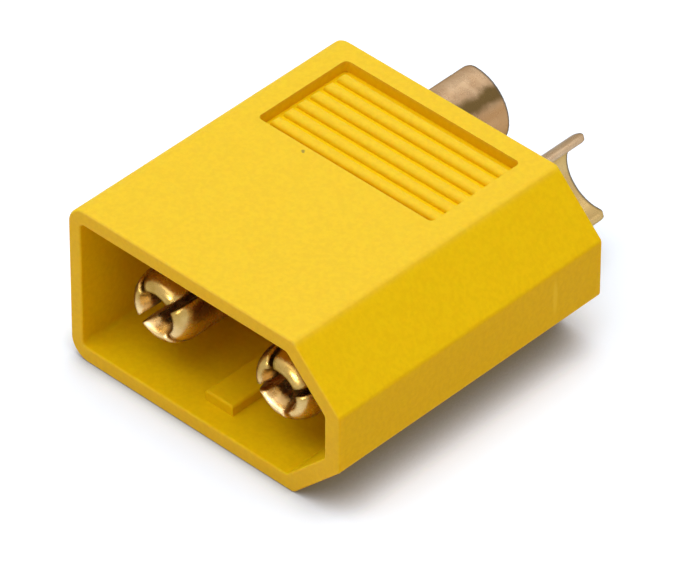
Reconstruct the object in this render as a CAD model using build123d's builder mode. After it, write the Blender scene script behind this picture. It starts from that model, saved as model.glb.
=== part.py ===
from build123d import *
from math import cos, radians, sin
import os

# Two-pole power connector, the half with the shrouded pins.
# +X points to the chamfered side, +Y from the mouth to the solder cups, +Z up.
# The origin is under the middle of the whole part, in the plane that it rests on.

# Housing, a single moulding
housing_width = 15.8
housing_height = 8.25
housing_length = 16.15
side_chamfer = 2.65
square_corner_radius = 1.0
ridge_radius = 0.3
rim_radius = 0.1
rear_edge_radius = 0.1

# Cavity that the mating plug enters
cavity_depth = 8.6
long_wall = 0.78
square_side_wall = 0.7
chamfered_side_wall = 0.85
cavity_chamfer = 2.2
cavity_corner_radius = 0.25

# Key rib on the cavity floor
key_width = 1.6
key_height = 0.52
key_setback = 1.1
key_offset = -0.15
key_edge_radius = 0.12

# Ribbed panel sunk into the top face, and a like one in the underside
panel_from_square_side = 1.75
panel_from_ridge = 1.2
panel_from_rear = 1.0
panel_length = 5.5
panel_depth = 0.6
panel_corner_radius = 0.25
rib_count = 6
rib_width = 0.55
rib_groove = 0.27
rib_end_gap = 0.5
rib_sink = 0.05
rib_height = 0.25
rib_edge_radius = 0.2

# Contacts, turned brass
contact_pitch = 7.2
pin_radius = 1.75
pin_setback = 0.82
pin_bore_radius = 0.8
pin_bore_depth = 6.6
pin_funnel_radius = 1.05
pin_funnel_depth = 0.65
nose_length = 1.2
nose_flat_radius = 1.12
slot_width = 0.38
slot_length = 5.8
neck_radius = 1.92
neck_flare = 0.2
shoulder_depth = 2.0
body_radius = 2.05
collar_radius = 2.4
collar_length = 0.9
collar_from_shoulder = 1.0

# Solder cups at the rear
cup_reach = 4.5
cup_bore_radius = 1.75
cup_depth = 8.2
scoop_length = 3.9
scoop_past_axis = 0.02
scoop_corner_radius = 0.42
scoop_cutter_radius = 1.2
cup_edge_break = 0.05

# How each contact is turned about its own axis, in degrees
positive_slot_turn = 41.5
negative_slot_turn = 23.3
positive_scoop_turn = 193
negative_scoop_turn = 19

# Room between a contact and the hole that it is pressed into
contact_clearance = 0.03
hole_lead_in = 0.2

# Places worked out from the sizes
overall_length = housing_length + cup_reach
mouth = -overall_length / 2
rear_face = mouth + housing_length
cup_end = mouth + overall_length
cavity_floor = mouth + cavity_depth
pin_tip = mouth + pin_setback
shoulder = cavity_floor + shoulder_depth
collar_start = shoulder + collar_from_shoulder
collar_end = collar_start + collar_length
mid_height = housing_height / 2
body_hole_radius = body_radius + contact_clearance
positive_x = -contact_pitch / 2
negative_x = contact_pitch / 2

# Two places closer than this are taken as one when edges and faces are picked out
same_place = 0.01


def close_to(value, place):
    return abs(value - place) < same_place


def cross_plane(y, x=0.0, z=0.0):
    """A plane across the part at y, seen from the mouth: its x is +X and its y is +Z."""
    return Plane(origin=(x, y, z), x_dir=(1, 0, 0), z_dir=(0, -1, 0))


def flat_faces_at(part, height):
    """The level faces of part whose middle is at height."""
    return part.faces().filter_by(Axis.Z).filter_by(lambda face: close_to(face.center().Z, height))


def axis_plane(x, side):
    """A plane through the contact's axis at x: its x runs to the rear and its y towards side."""
    return Plane(origin=(x, 0, mid_height), x_dir=(0, 1, 0), z_dir=(side[1], 0, -side[0]))


def make_housing():
    """The shroud with its cavity, key rib, ribbed panels and the holes for the contacts."""
    with BuildPart() as housing:
        with BuildSketch(cross_plane(mouth, z=mid_height)) as outline:
            Rectangle(housing_width, housing_height)
            fillet(outline.vertices().group_by(Axis.X)[0], square_corner_radius)
            chamfer(outline.vertices().group_by(Axis.X)[-1], side_chamfer)
            fillet(outline.vertices().sort_by(Axis.X)[-4:], ridge_radius)
        extrude(amount=-housing_length)

        # The cavity, with the same chamfered side as the outside
        cavity_left = -housing_width / 2 + square_side_wall
        cavity_right = housing_width / 2 - chamfered_side_wall
        with BuildSketch(cross_plane(mouth, x=(cavity_left + cavity_right) / 2, z=mid_height)) as cavity:
            Rectangle(cavity_right - cavity_left, housing_height - 2 * long_wall)
            chamfer(cavity.vertices().group_by(Axis.X)[-1], cavity_chamfer)
            fillet(cavity.vertices(), cavity_corner_radius)
        extrude(amount=-cavity_depth, mode=Mode.SUBTRACT)
        fillet(housing.faces().sort_by(Axis.Y)[0].edges(), rim_radius)
        fillet(housing.faces().sort_by(Axis.Y)[-1].edges(), rear_edge_radius)

        # The key rib stands on the cavity floor and runs back into the web
        key_length = cavity_depth - key_setback
        with BuildSketch(Plane.XY.offset(long_wall)):
            with Locations((key_offset, cavity_floor - key_length / 2)):
                Rectangle(key_width, key_length)
        extrude(amount=key_height)
        key_top = flat_faces_at(housing, long_wall + key_height)
        fillet(key_top.edges().filter_by(lambda edge: edge.center().Y < cavity_floor - same_place),
               key_edge_radius)

        # A sunk panel in each broad face; its ribs stand on a low bed and run into its right wall
        panel_left = -housing_width / 2 + panel_from_square_side
        panel_right = housing_width / 2 - side_chamfer - panel_from_ridge
        panel_width = panel_right - panel_left
        panel_rear = rear_face - panel_from_rear
        panel_front = panel_rear - panel_length
        rib_length = panel_width - rib_end_gap
        rib_middle = panel_right - rib_length / 2
        rib_pitch = rib_width + rib_groove
        rib_places = [(rib_middle, panel_front + (i + 1) * rib_pitch - rib_width / 2) for i in range(rib_count)]
        bed_length = rib_count * rib_pitch
        rib_foot = panel_depth - rib_sink - rib_height
        for panel_floor, outward in ((housing_height - panel_depth, 1), (panel_depth, -1)):
            with BuildSketch(Plane.XY.offset(panel_floor)) as panel:
                with Locations((panel_left + panel_width / 2, panel_front + panel_length / 2)):
                    Rectangle(panel_width, panel_length)
                fillet(panel.vertices(), panel_corner_radius)
            extrude(amount=outward * panel_depth, mode=Mode.SUBTRACT)
            with BuildSketch(Plane.XY.offset(panel_floor)):
                with Locations((rib_middle, panel_front + bed_length / 2)):
                    Rectangle(rib_length, bed_length)
            extrude(amount=outward * rib_foot)
            with BuildSketch(Plane.XY.offset(panel_floor + outward * rib_foot)):
                with Locations(*rib_places):
                    Rectangle(rib_length, rib_width)
            extrude(amount=outward * rib_height)
            rib_tops = flat_faces_at(housing, panel_floor + outward * (panel_depth - rib_sink))
            fillet(rib_tops.edges().filter_by(lambda edge: edge.center().X < panel_right - same_place),
                   rib_edge_radius)

        # Stepped holes that the contacts are pressed into from the rear, with a pocket for the collar
        for x in (positive_x, negative_x):
            with BuildSketch(cross_plane(rear_face, x=x, z=mid_height)):
                Circle(neck_radius + contact_clearance)
            extrude(amount=housing_length - cavity_depth, mode=Mode.SUBTRACT)
            with BuildSketch(cross_plane(rear_face, x=x, z=mid_height)):
                Circle(body_hole_radius)
            extrude(amount=rear_face - shoulder, mode=Mode.SUBTRACT)
            with BuildSketch(cross_plane(collar_end + contact_clearance, x=x, z=mid_height)):
                Circle(collar_radius + contact_clearance)
            extrude(amount=collar_length + 2 * contact_clearance, mode=Mode.SUBTRACT)
        chamfer(housing.edges().filter_by(GeomType.CIRCLE).filter_by(
            lambda edge: close_to(edge.center().Y, rear_face) and close_to(edge.radius, body_hole_radius)),
            hole_lead_in)
    return housing


def make_contact(x, slot_turn, scoop_turn):
    """One turned contact on the axis at x: slotted pin, neck, retaining collar and solder cup."""
    body_start = shoulder + contact_clearance
    with BuildPart() as contact:
        # Half section, turned about the contact's axis; its y is the distance from the axis
        with BuildSketch(axis_plane(x, (0, 1))):
            with BuildLine():
                nose_end = pin_tip + nose_length
                nose_rise = pin_radius - nose_flat_radius
                EllipticalCenterArc(
                    (nose_end, nose_flat_radius), nose_length, nose_rise, start_angle=90, arc_size=90)
                Polyline(
                    (nose_end, pin_radius),
                    (cavity_floor - neck_flare, pin_radius),
                    (cavity_floor, neck_radius),
                    (body_start, neck_radius),
                    (body_start, body_radius),
                    (collar_start, body_radius),
                    (collar_end, collar_radius),
                    (collar_end, body_radius),
                    (cup_end, body_radius),
                    (cup_end, 0),
                    (pin_tip, 0),
                    (pin_tip, nose_flat_radius),
                )
            make_face()
        revolve(axis=Axis((x, 0, mid_height), (0, 1, 0)))

        # The pin's bore opens out to a funnel between the petals
        with BuildSketch(axis_plane(x, (0, 1))):
            with BuildLine():
                Polyline(
                    (pin_tip, 0),
                    (pin_tip, pin_funnel_radius),
                    (pin_tip + pin_funnel_depth, pin_bore_radius),
                    (pin_tip + pin_bore_depth, pin_bore_radius),
                    (pin_tip + pin_bore_depth, 0),
                    close=True,
                )
            make_face()
        revolve(axis=Axis((x, 0, mid_height), (0, 1, 0)), mode=Mode.SUBTRACT)

        # Two crossed slots make four springy petals
        with BuildSketch(cross_plane(pin_tip, x=x, z=mid_height)):
            Rectangle(3 * pin_radius, slot_width, rotation=slot_turn)
            Rectangle(slot_width, 3 * pin_radius, rotation=slot_turn)
        extrude(amount=-slot_length, mode=Mode.SUBTRACT)

        # The solder cup's bore
        with BuildSketch(cross_plane(cup_end, x=x, z=mid_height)):
            Circle(cup_bore_radius)
        extrude(amount=cup_depth, mode=Mode.SUBTRACT)

        # The scoop opens one side of the cup for the wire, and leaves ears with rounded ends
        turn = radians(scoop_turn)
        past_the_cup = 2 * body_radius
        ear_drop = scoop_past_axis + 2 * scoop_corner_radius
        with BuildSketch(axis_plane(x, (cos(turn), sin(turn)))) as scoop:
            with BuildLine():
                Polyline(
                    (cup_end - scoop_length, past_the_cup),
                    (cup_end - scoop_length, -scoop_past_axis),
                    (cup_end, -scoop_past_axis),
                    (cup_end, -ear_drop),
                    (cup_end + scoop_corner_radius, -ear_drop),
                    (cup_end + scoop_corner_radius, past_the_cup),
                    close=True,
                )
            make_face()
            for which, radius in ((0, scoop_cutter_radius), (-1, scoop_corner_radius)):
                level = scoop.vertices().filter_by(lambda vertex: close_to(vertex.Y, -scoop_past_axis))
                fillet(level.sort_by(Axis.X)[which], radius)
        extrude(amount=past_the_cup, both=True, mode=Mode.SUBTRACT)
        cup_edges = contact.edges().filter_by(lambda edge: close_to(edge.center().Y, cup_end))
        chamfer(cup_edges, cup_edge_break)
    return contact


os.makedirs("parts", exist_ok=True)

housing = make_housing()
positive_contact = make_contact(positive_x, positive_slot_turn, positive_scoop_turn)
negative_contact = make_contact(negative_x, negative_slot_turn, negative_scoop_turn)

for name, piece in (
    ("housing", housing),
    ("positive_contact", positive_contact),
    ("negative_contact", negative_contact),
):
    piece.part.label = name
    export_step(piece.part, f"parts/{name}.step")
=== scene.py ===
"""A two-pole power connector: a yellow nylon shroud around two gold-plated, slotted pins with solder cups."""
from math import cos, radians, sin

import bpy
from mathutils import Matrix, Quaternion, Vector


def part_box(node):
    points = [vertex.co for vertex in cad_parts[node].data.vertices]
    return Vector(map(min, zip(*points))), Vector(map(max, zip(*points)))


MM = 0.001
WHITE = (1, 1, 1, 1)

# The camera of the photograph, worked out from the housing's edges. Sensor and lens are in millimetres.
CAMERA_AIM = Vector((0.755, -2.262, 3.432)) * MM
CAMERA_AZIMUTH = radians(43.508)
CAMERA_ELEVATION = radians(39.853)
CAMERA_ROLL = radians(0.192)
CAMERA_DISTANCE = 331.2 * MM
CAMERA_SENSOR = 36.0
CAMERA_LENS = 403.1
CAMERA_NEAREST = 1 * MM
CAMERA_FARTHEST = 10.0

# Nylon: its two tones, a painted shade for its hollows, a painted sheen, dirt, and a painted highlight
NYLON = (0.875, 0.57, 0.002, 1)
NYLON_DEEP = (0.825, 0.525, 0.001, 1)
NYLON_PAINTED_SHADE = (0.70, 0.35, 0.001, 1)
NYLON_PAINTED_SHEEN = (0.95, 0.80, 0.55, 1)
NYLON_DIRT = (0.40, 0.26, 0.05, 1)
NYLON_PAINTED_HIGHLIGHT = (0.92, 0.63, 0.02, 1)

# How far the nylon's view of its surroundings reaches, and the free shares that count as shut in and as open,
# for the painted shade
PAINTED_SHADE_REACH = 6 * MM
PAINTED_SHADE_SHARES = (0.02, 0.34)

# The painted sheen's strength on the top and on the mouth's rim, and how far below or behind them it fades
# out
TOP_PAINTED_SHEEN = 0.05
TOP_SHEEN_DEPTH = 0.25 * MM
RIM_PAINTED_SHEEN = 0.04
RIM_SHEEN_DEPTH = 0.08 * MM

# Specks of dirt on the top: place across and along, and radius, in millimetres
SPECKS = ((-3.15, -0.98, 0.12), (-3.08, -1.04, 0.08), (-3.6, -0.5, 0.16))

# A painted highlight on the chamfered side, an upright pale streak, and the weights that draw it out upright
HIGHLIGHT_ALONG = 2.9 * MM
HIGHLIGHT_HEIGHT = 4.2 * MM
HIGHLIGHT_RADIUS = 0.2 * MM
UPRIGHT = (1, 1, 0.15)

# The nylon's surface: the sizes of its mottling, grain and ripples, the depths of the last two, and its gloss
MOTTLE_SIZE = 0.24 * MM
GRAIN_SIZE = 0.11 * MM
GRAIN_STRENGTH = 0.45
GRAIN_DEPTH = 0.012 * MM
RIPPLE_SIZE = 1.3 * MM
RIPPLE_STRENGTH = 0.25
RIPPLE_DEPTH = 0.02 * MM
NYLON_ROUGHNESS = (0.44, 0.56)
NYLON_GLOSS = 0.07

# Light that soaks into the nylon: its share, how deep it goes, and how much of that for red, green and blue
SOAK_SHARE = 0.5
SOAK_DEPTH = 0.25 * MM
SOAK_SPREAD = (1.0, 0.55, 0.12)

# Gold plate on the pins, with painted shade that darkens them towards their tops, and the tint that all the
# plate takes on near its outline
GOLD = (0.80, 0.56, 0.235, 1)
GOLD_PALE = (0.96, 0.74, 0.40, 1)
GOLD_PAINTED_SHADE = (0.40, 0.25, 0.06, 1)
GOLD_PAINTED_SHADE_PALE = (0.50, 0.33, 0.10, 1)
GOLD_EDGE = (0.48, 0.43, 0.37, 1)

# The browner plate on the solder cups, cleaner on the negative one. Rosy and yellow are their lower parts,
# and the paler upper parts are a painted reflection. The last two are a painted shade for the rims and a
# painted dark reflection.
PLATE_WORN = (0.44, 0.28, 0.155, 1)
PLATE_LIGHT = (0.54, 0.37, 0.22, 1)
PLATE_CLEAN = (0.60, 0.44, 0.28, 1)
PLATE_ROSY = (0.46, 0.26, 0.115, 1)
PLATE_YELLOW = (0.57, 0.39, 0.155, 1)
CUP_RIM_PAINTED_SHADE = (0.17, 0.14, 0.11, 1)
PAINTED_DARK_REFLECTION = (0.16, 0.10, 0.035, 1)

# Where the contacts' colours change over: heights from the axis for the pins' painted shade and the cups'
# painted reflection, places across between the two contacts, places along from the cups' ends for their
# painted shade, and the length in front of the cups
PIN_SHADE_FADE = (-0.9 * MM, 0.7 * MM)
CUP_REFLECTION_FADE = (0.8 * MM, 1.5 * MM)
BETWEEN_CONTACTS = (-1.0 * MM, 1.0 * MM)
RIM_SHADE_FADE = (-0.18 * MM, -0.04 * MM)
PLATE_FADE = 1.0 * MM

# The painted dark reflection that lies as a streak along the positive cup: the cup's radius, the streak's
# turn about the axis from level, its size, how far its edge wanders, and the weights that draw it out along
# the contact
CUP_RADIUS = 2.05 * MM
STREAK_TURN = radians(47)
STREAK_RADIUS = 0.55 * MM
STREAK_WANDER = 1.1
ALONG_CONTACT = (1, 0, 1)

# The gold's surface: patches of colour, smudges, and edges that look slightly rounded
PATCH_SIZE = 0.9 * MM
SMUDGE_SIZE = 0.5 * MM
SMUDGE_STRENGTH = 0.05
SMUDGE_DEPTH = 0.01 * MM
GOLD_ROUGHNESS = (0.21, 0.33)
EDGE_ROUNDING = 0.3 * MM
EDGE_SAMPLES = 8

# Lathe marks round the contacts. The wave texture sets them 0.314 of this length apart, which is 0.11 mm.
LATHE_WAVE = 0.35 * MM
LATHE_STRENGTH = 0.06
LATHE_DEPTH = 0.004 * MM

# The noise's middle, and the part of its range that each pattern uses. A narrow part gives clear patches.
NOISE_MIDDLE = 0.5
NOISE_RANGE = (0.3, 0.7)
MOTTLE_RANGE = (0.32, 0.68)
PATCH_RANGE = (0.38, 0.66)

# A spot's full part, as a share of its radius, and the size of the noise that makes its edge uneven
SPOT_CORE = 0.3
SPOT_NOISE_SIZE = 0.8 * MM

# The floor as it is seen, slightly blue against the part's yellow glow, and as it lights the part.
# The deep colours are a painted shadow close under the part, where hardly any light gets in.
FLOOR_SEEN = (0.85, 0.91, 1.0, 1)
FLOOR_PAINTED_SHADOW = (0.02, 0.02, 0.02, 1)
FLOOR_GLOW = (0.2, 0.2, 0.195, 1)
FLOOR_GLOW_PAINTED_SHADOW = (0.12, 0.085, 0.035, 1)
FLOOR_BOUNCE = (0.86, 0.66, 0.48, 1)

# The floor's size, the distances between which it turns white, how far its view of the part reaches, and the
# free shares of that view that count as shut in and as open for its painted shadow in colour and in glow
FLOOR_SIZE = 1.2
FLOOR_FADE = (25 * MM, 60 * MM)
FLOOR_REACH = 2.5 * MM
FLOOR_SHARES = (0.16, 0.95)
GLOW_SHARES = (0.1, 0.6)

# Soft light all round: its colour, its strength at the horizon and overhead, and the upward parts of a
# direction at which it has the one and the other
SKY_COLOUR = (0.97, 1.0, 1.04, 1)
SKY_STRENGTH = (0.05, 0.47)
SKY_RISE = (0.0, 0.6)

# Numbers of the Mix node's colour sockets, because it has a set of sockets for each kind of data
MIX_FIRST = 6
MIX_SECOND = 7
MIX_RESULT = 2


def start_nodes(owner):
    """Clears the nodes of a material or of the world, and gives its node tree."""
    owner.use_nodes = True
    owner.node_tree.nodes.clear()
    return owner.node_tree


def add_node(tree, kind, inputs=None, **settings):
    """A new node with its settings. Each input is given a constant or is linked to another node's output."""
    node = tree.nodes.new(kind)
    for name, setting in settings.items():
        setattr(node, name, setting)
    for name, value in (inputs or {}).items():
        if isinstance(value, bpy.types.NodeSocket):
            tree.links.new(value, node.inputs[name])
        else:
            node.inputs[name].default_value = value
    return node


def object_position(tree):
    """The place of a point on its piece, in metres in the part's own frame."""
    return add_node(tree, "ShaderNodeTexCoord").outputs["Object"]


def noise(tree, place, size, detail=2.0, roughness=0.5):
    """Noise whose lumps are about size across, in metres."""
    inputs = {"Vector": place, "Scale": 1 / size, "Detail": detail, "Roughness": roughness}
    return add_node(tree, "ShaderNodeTexNoise", inputs).outputs["Fac"]


def remap(tree, value, span, to=(0.0, 1.0)):
    """Takes value from one range to another on a smooth curve, and holds it at both ends."""
    inputs = {"Value": value, "From Min": span[0], "From Max": span[1], "To Min": to[0], "To Max": to[1]}
    return add_node(tree, "ShaderNodeMapRange", inputs, interpolation_type="SMOOTHSTEP").outputs["Result"]


def around(base, offsets):
    """The range between two offsets from a base, such as heights from the contacts' axis."""
    return base + offsets[0], base + offsets[1]


def mix(tree, factor, first, second):
    """The first colour where factor is 0 and the second where it is 1, each a constant or a socket."""
    inputs = {"Factor": factor, MIX_FIRST: first, MIX_SECOND: second}
    return add_node(tree, "ShaderNodeMix", inputs, data_type="RGBA").outputs[MIX_RESULT]


def mix_shaders(tree, factor, first, second):
    """The first shader where factor is 0 and the second where it is 1."""
    return add_node(tree, "ShaderNodeMixShader", {"Fac": factor, 1: first, 2: second}).outputs["Shader"]


def vector_maths(tree, operation, first, second=None):
    """One step of arithmetic on vectors. LENGTH takes no second vector and gives a number."""
    inputs = {0: first} if second is None else {0: first, 1: second}
    node = add_node(tree, "ShaderNodeVectorMath", inputs, operation=operation)
    return node.outputs["Value" if operation == "LENGTH" else "Vector"]


def bump(tree, height, strength, depth, under=None):
    """Normals as if the surface rose by height times depth, laid over other normals where some are given.

    strength is the share of that which shows.
    """
    inputs = {"Height": height, "Strength": strength, "Distance": depth}
    if under is not None:
        inputs["Normal"] = under
    return add_node(tree, "ShaderNodeBump", inputs).outputs["Normal"]


def openness(tree, reach, shares):
    """0 where a surface is shut in and 1 where it lies open, by how much of its view within reach is free.

    shares are the free share of that view that counts as shut in, and the one that counts as open.
    """
    free = add_node(tree, "ShaderNodeAmbientOcclusion", {"Distance": reach}).outputs["AO"]
    return remap(tree, free, shares)


def spot_mask(tree, place, centre, radius, weights=(1, 1, 1), wander=0.0):
    """1 in the middle of a spot, falling softly to 0 at its radius.

    weights say how much distance counts along each axis, so a low one draws the spot out that way. Noise
    moves the edge in and out by up to half of wander times radius.
    """
    offset = vector_maths(tree, "SUBTRACT", place, centre)
    distance = vector_maths(tree, "LENGTH", vector_maths(tree, "MULTIPLY", offset, weights))
    inputs = {0: noise(tree, place, SPOT_NOISE_SIZE), 1: wander * radius, 2: distance}
    uneven = add_node(tree, "ShaderNodeMath", inputs, operation="MULTIPLY_ADD").outputs["Value"]
    shift = NOISE_MIDDLE * wander * radius
    return remap(tree, uneven, (radius * SPOT_CORE + shift, radius + shift), to=(1.0, 0.0))


def make_nylon(top, front, specks, side_highlight):
    """Matt moulded nylon: fine grain, slight mottling, painted shade in its hollows, a painted sheen on the
    top and rim, dirt and a painted highlight.

    top is the height of the housing's top, front the place of its mouth along Y, specks are centres with
    radii, and the last argument is the centre of a painted highlight on the side.
    """
    material = bpy.data.materials.new("yellow_nylon")
    tree = start_nodes(material)
    place = object_position(tree)
    axes = add_node(tree, "ShaderNodeSeparateXYZ", {"Vector": place}).outputs

    mottle = remap(tree, noise(tree, place, MOTTLE_SIZE, detail=4.0, roughness=0.6), MOTTLE_RANGE)
    colour = mix(tree, mottle, NYLON, NYLON_DEEP)
    # Painted shade: the nylon turns darker and redder where its hollows shut it in
    colour = mix(tree, openness(tree, PAINTED_SHADE_REACH, PAINTED_SHADE_SHARES), NYLON_PAINTED_SHADE, colour)
    # Painted sheen: the top and the mouth's rim turn paler, as if they reflected the light
    top_sheen = remap(tree, axes["Z"], (top - TOP_SHEEN_DEPTH, top), to=(0.0, TOP_PAINTED_SHEEN))
    colour = mix(tree, top_sheen, colour, NYLON_PAINTED_SHEEN)
    rim_sheen = remap(tree, axes["Y"], (front + RIM_SHEEN_DEPTH, front), to=(0.0, RIM_PAINTED_SHEEN))
    colour = mix(tree, rim_sheen, colour, NYLON_PAINTED_SHEEN)
    for centre, radius in specks:
        colour = mix(tree, spot_mask(tree, place, centre, radius), colour, NYLON_DIRT)
    # Painted highlight: an upright pale streak on the chamfered side
    highlighted = spot_mask(tree, place, side_highlight, HIGHLIGHT_RADIUS, weights=UPRIGHT)
    colour = mix(tree, highlighted, colour, NYLON_PAINTED_HIGHLIGHT)

    grain = noise(tree, place, GRAIN_SIZE, detail=3.0, roughness=0.6)
    ripple = noise(tree, place, RIPPLE_SIZE, detail=1.0)
    normal = bump(tree, ripple, RIPPLE_STRENGTH, RIPPLE_DEPTH)
    normal = bump(tree, grain, GRAIN_STRENGTH, GRAIN_DEPTH, under=normal)

    shader = add_node(tree, "ShaderNodeBsdfPrincipled", {
        "Base Color": colour,
        "Roughness": remap(tree, grain, NOISE_RANGE, to=NYLON_ROUGHNESS),
        "Normal": normal,
        "Specular IOR Level": NYLON_GLOSS,
        "Subsurface Weight": SOAK_SHARE,
        "Subsurface Radius": SOAK_SPREAD,
        "Subsurface Scale": SOAK_DEPTH,
    })
    add_node(tree, "ShaderNodeOutputMaterial", {"Surface": shader.outputs["BSDF"]})
    return material


def make_gold(cup_start, cup_end, axis_height, streak):
    """Thin gold plate over turned brass: pins with painted shade towards their tops, and browner cups with a
    painted reflection on their upper parts, painted shade on their rims and a painted dark reflection as a
    streak.

    cup_start and cup_end are places along Y, axis_height is the height of the contacts' axis, and streak is
    the middle of the streak.
    """
    material = bpy.data.materials.new("gold_plate")
    tree = start_nodes(material)
    place = object_position(tree)
    axes = add_node(tree, "ShaderNodeSeparateXYZ", {"Vector": place}).outputs
    patches = remap(tree, noise(tree, place, PATCH_SIZE, detail=3.0), PATCH_RANGE)

    bright = mix(tree, patches, GOLD, GOLD_PALE)
    # Painted shade: the pins' colour turns darker towards their tops
    pin_shade = mix(tree, patches, GOLD_PAINTED_SHADE, GOLD_PAINTED_SHADE_PALE)
    pins = mix(tree, remap(tree, axes["Z"], around(axis_height, PIN_SHADE_FADE)), bright, pin_shade)

    # Painted reflection: the cups' upper parts are paler than their lower parts
    low = remap(tree, axes["Z"], around(axis_height, CUP_REFLECTION_FADE), to=(1.0, 0.0))
    positive = mix(tree, low, mix(tree, patches, PLATE_WORN, PLATE_LIGHT), PLATE_ROSY)
    negative = mix(tree, low, mix(tree, patches, PLATE_LIGHT, PLATE_CLEAN), PLATE_YELLOW)
    cups = mix(tree, remap(tree, axes["X"], BETWEEN_CONTACTS), positive, negative)
    # Painted reflection: a dark streak along the positive cup
    dark_reflection = spot_mask(tree, place, streak, STREAK_RADIUS, weights=ALONG_CONTACT, wander=STREAK_WANDER)
    cups = mix(tree, dark_reflection, cups, PAINTED_DARK_REFLECTION)
    # Painted shade: a dark band round the end of each cup
    cups = mix(tree, remap(tree, axes["Y"], around(cup_end, RIM_SHADE_FADE)), cups, CUP_RIM_PAINTED_SHADE)
    behind = remap(tree, axes["Y"], (cup_start - PLATE_FADE, cup_start))
    colour = mix(tree, behind, pins, cups)

    smudges = noise(tree, place, SMUDGE_SIZE, detail=4.0, roughness=0.65)
    wave = {"Vector": place, "Scale": 1 / LATHE_WAVE, "Distortion": 1.5, "Detail": 2.0}
    marks = add_node(tree, "ShaderNodeTexWave", wave, bands_direction="Y").outputs["Fac"]
    edges = add_node(tree, "ShaderNodeBevel", {"Radius": EDGE_ROUNDING}, samples=EDGE_SAMPLES)
    normal = bump(tree, marks, LATHE_STRENGTH, LATHE_DEPTH, under=edges.outputs["Normal"])
    normal = bump(tree, smudges, SMUDGE_STRENGTH, SMUDGE_DEPTH, under=normal)

    shader = add_node(tree, "ShaderNodeBsdfPrincipled", {
        "Base Color": colour,
        "Metallic": 1.0,
        "Roughness": remap(tree, smudges, NOISE_RANGE, to=GOLD_ROUGHNESS),
        "Normal": normal,
        "Specular Tint": GOLD_EDGE,
    })
    add_node(tree, "ShaderNodeOutputMaterial", {"Surface": shader.outputs["BSDF"]})
    return material


def put_material(piece, material):
    """Gives a piece one material in place of those it has."""
    piece.data.materials.clear()
    piece.data.materials.append(material)


def seen_directly(tree):
    """1 for what the camera sees, also in metal or through glass, and 0 for what only lights the part."""
    path = add_node(tree, "ShaderNodeLightPath").outputs
    seen = path["Is Camera Ray"]
    for ray in ("Is Glossy Ray", "Is Transmission Ray"):
        seen = add_node(tree, "ShaderNodeMath", {0: seen, 1: path[ray]}, operation="MAXIMUM").outputs["Value"]
    return seen


def make_floor():
    """A pale floor that keeps the part's shadow, has a painted shadow close under it, and fades to plain
    white farther out.
    """
    bpy.ops.mesh.primitive_plane_add(size=FLOOR_SIZE, location=(0, 0, 0))
    floor = bpy.context.active_object
    floor.name = "floor"
    material = bpy.data.materials.new("pale_floor")
    tree = start_nodes(material)

    # Painted shadow: the floor's colour and glow go dark close under the part
    paper_colour = mix(tree, openness(tree, FLOOR_REACH, FLOOR_SHARES), FLOOR_PAINTED_SHADOW, FLOOR_SEEN)
    paper = add_node(tree, "ShaderNodeBsdfDiffuse", {"Color": paper_colour}).outputs["BSDF"]
    glow_colour = mix(tree, openness(tree, FLOOR_REACH, GLOW_SHARES), FLOOR_GLOW_PAINTED_SHADOW, FLOOR_GLOW)
    glow = add_node(tree, "ShaderNodeEmission", {"Color": glow_colour}).outputs["Emission"]
    near = add_node(tree, "ShaderNodeAddShader", {0: paper, 1: glow}).outputs["Shader"]
    white = add_node(tree, "ShaderNodeEmission", {"Color": WHITE}).outputs["Emission"]
    distance = vector_maths(tree, "LENGTH", object_position(tree))
    seen = mix_shaders(tree, remap(tree, distance, FLOOR_FADE), near, white)

    bounce = add_node(tree, "ShaderNodeBsdfDiffuse", {"Color": FLOOR_BOUNCE}).outputs["BSDF"]
    surface = mix_shaders(tree, seen_directly(tree), bounce, seen)
    add_node(tree, "ShaderNodeOutputMaterial", {"Surface": surface})
    put_material(floor, material)


def make_world():
    """Soft light all round, weak near the horizon, and a white background for what the camera sees."""
    world = bpy.data.worlds.new("studio")
    bpy.context.scene.world = world
    tree = start_nodes(world)
    direction = add_node(tree, "ShaderNodeTexCoord").outputs["Generated"]
    upward = add_node(tree, "ShaderNodeSeparateXYZ", {"Vector": direction}).outputs["Z"]
    strength = remap(tree, upward, SKY_RISE, to=SKY_STRENGTH)
    sky = add_node(tree, "ShaderNodeBackground", {"Color": SKY_COLOUR, "Strength": strength})
    backdrop = add_node(tree, "ShaderNodeBackground", {"Color": WHITE, "Strength": 1.0})
    lighting, seen = sky.outputs["Background"], backdrop.outputs["Background"]
    surface = mix_shaders(tree, seen_directly(tree), lighting, seen)
    add_node(tree, "ShaderNodeOutputWorld", {"Surface": surface})


def softbox(name, direction, distance, width, height, watts):
    """An oblong area lamp at distance from the part in a direction, facing it. Lengths are in metres."""
    data = bpy.data.lights.new(name, "AREA")
    data.shape = "RECTANGLE"
    data.size = width
    data.size_y = height
    data.energy = watts
    lamp = bpy.data.objects.new(name, data)
    bpy.context.scene.collection.objects.link(lamp)
    away = Vector(direction).normalized()
    lamp.location = CAMERA_AIM + away * distance
    lamp.rotation_euler = away.to_track_quat("Z", "Y").to_euler()
    return lamp


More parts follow.
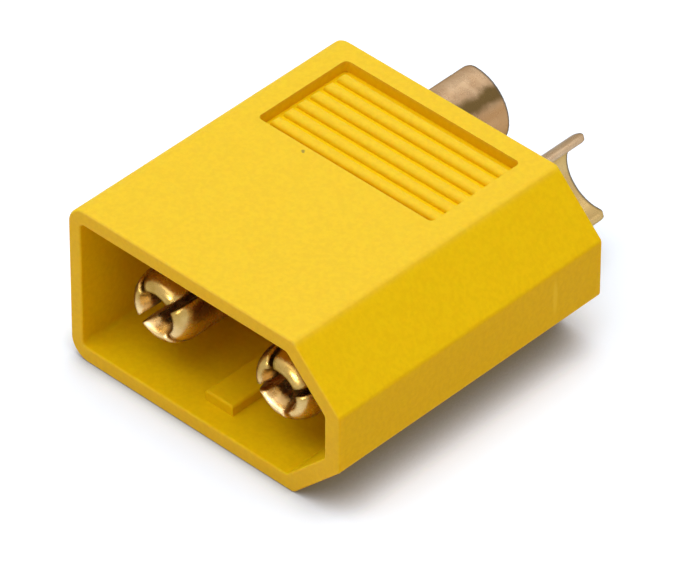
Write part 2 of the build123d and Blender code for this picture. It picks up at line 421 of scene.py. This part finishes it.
def make_camera():
    """The camera where the photograph's stood, with the same framing."""
    data = bpy.data.cameras.new("camera")
    data.sensor_width = CAMERA_SENSOR
    data.lens = CAMERA_LENS
    data.clip_start = CAMERA_NEAREST
    data.clip_end = CAMERA_FARTHEST
    camera = bpy.data.objects.new("camera", data)
    bpy.context.scene.collection.objects.link(camera)
    away = Vector((
        sin(CAMERA_AZIMUTH) * cos(CAMERA_ELEVATION),
        -cos(CAMERA_AZIMUTH) * cos(CAMERA_ELEVATION),
        sin(CAMERA_ELEVATION),
    ))
    camera.location = CAMERA_AIM + away * CAMERA_DISTANCE
    camera.rotation_mode = "QUATERNION"
    camera.rotation_quaternion = away.to_track_quat("Z", "Y") @ Quaternion((0, 0, 1), CAMERA_ROLL)
    bpy.context.scene.camera = camera


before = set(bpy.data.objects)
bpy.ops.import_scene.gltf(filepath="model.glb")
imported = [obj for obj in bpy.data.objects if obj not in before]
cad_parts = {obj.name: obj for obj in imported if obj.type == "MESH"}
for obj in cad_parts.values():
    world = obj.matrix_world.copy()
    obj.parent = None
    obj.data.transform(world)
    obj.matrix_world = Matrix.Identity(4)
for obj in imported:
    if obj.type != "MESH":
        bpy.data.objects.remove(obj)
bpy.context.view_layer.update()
bpy.ops.object.select_all(action="DESELECT")

# The housing
housing_low, housing_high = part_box("housing")
front, rear, top = housing_low[1], housing_high[1], housing_high[2]
specks = [(Vector((x * MM, y * MM, top)), radius * MM) for x, y, radius in SPECKS]
# The centre of the painted highlight on the chamfered side
side_highlight = Vector((housing_high[0], HIGHLIGHT_ALONG, HIGHLIGHT_HEIGHT))
put_material(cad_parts["housing"], make_nylon(top, front, specks, side_highlight))

# The two contacts
contact_low, contact_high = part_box("positive_contact")
axis_across = (contact_low[0] + contact_high[0]) / 2
axis_height = (contact_low[2] + contact_high[2]) / 2
axis = Vector((axis_across, 0, axis_height))
# The middle of the painted dark reflection on the positive cup
streak = axis + Vector((cos(STREAK_TURN), 0, sin(STREAK_TURN))) * CUP_RADIUS
gold = make_gold(rear, contact_high[1], axis_height, streak)
for contact in ("positive_contact", "negative_contact"):
    put_material(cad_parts[contact], gold)

# The studio. The second lamp shows only as a gleam, above all in the metal.
make_floor()
make_world()
softbox("key_softbox", direction=(-0.03, -0.1, 1.0), distance=0.45, width=0.5, height=0.6, watts=2.05)
catch_light = softbox(
    "catch_light", direction=(0.236, -0.858, 0.455), distance=0.35, width=0.09, height=0.09, watts=0.7
)
catch_light.visible_diffuse = False
make_camera()
bpy.context.scene.view_settings.view_transform = "Standard"
